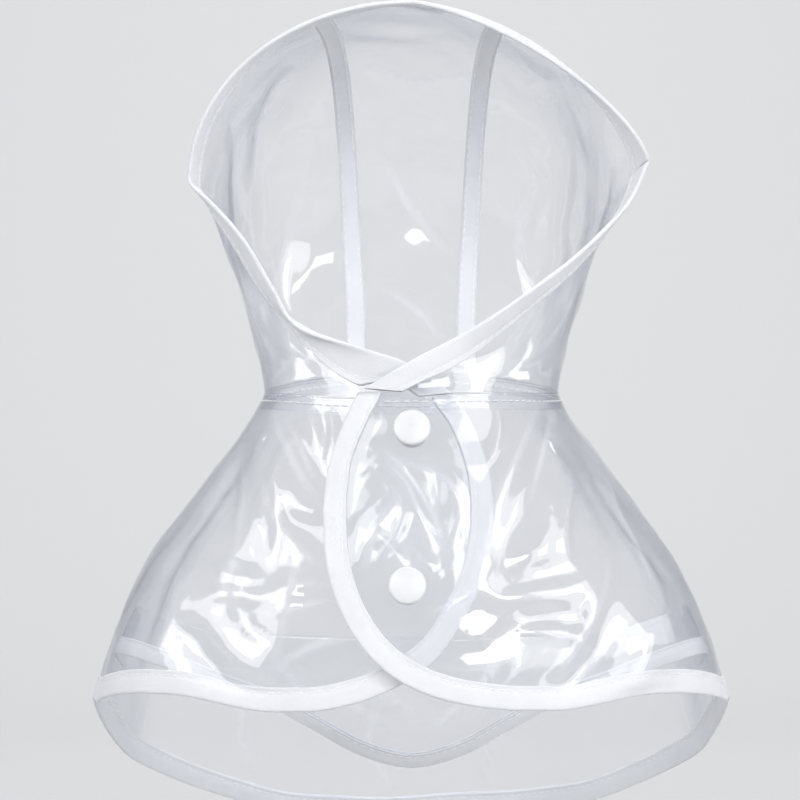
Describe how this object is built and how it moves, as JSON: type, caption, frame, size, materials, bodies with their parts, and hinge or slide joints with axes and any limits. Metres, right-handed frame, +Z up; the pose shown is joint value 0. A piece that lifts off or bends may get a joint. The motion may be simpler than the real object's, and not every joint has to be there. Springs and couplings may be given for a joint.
{
  "type": "hooded dog raincoat",
  "caption": "Clear film raincoat cape for a small dog, with a three-piece hood, crossed front flaps closed by snaps, taped edges and a belly panel, in its worn form.",
  "frame": {"origin": "middle of the neck seam, where the wearer's neck carries the coat", "axes": "+Z up, the front flaps face -Y, +X is the wearer's left side"},
  "size_m": [0.2237, 0.2053, 0.294],
  "materials": {
    "clear_film": "clear glossy film",
    "edge_tape": "fine white woven tape",
    "snap_plastic": "satin white moulded plastic"
  },
  "bodies": {
    "root": {"cape": "clear_film", "hood_right": "clear_film", "hood_gusset": "clear_film", "hood_left": "clear_film", "belly_panel": "clear_film", "hem_tape": "edge_tape", "hood_tape": "edge_tape", "seam_tape_right": "edge_tape", "seam_tape_left": "edge_tape", "belly_tape": "edge_tape", "snap_upper_cap": "snap_plastic", "snap_upper_socket": "snap_plastic", "snap_upper_stud": "snap_plastic", "snap_upper_back_cap": "snap_plastic", "snap_lower_cap": "snap_plastic", "snap_lower_socket": "snap_plastic", "snap_lower_stud": "snap_plastic", "snap_lower_back_cap": "snap_plastic"}
  },
  "joints": []
}
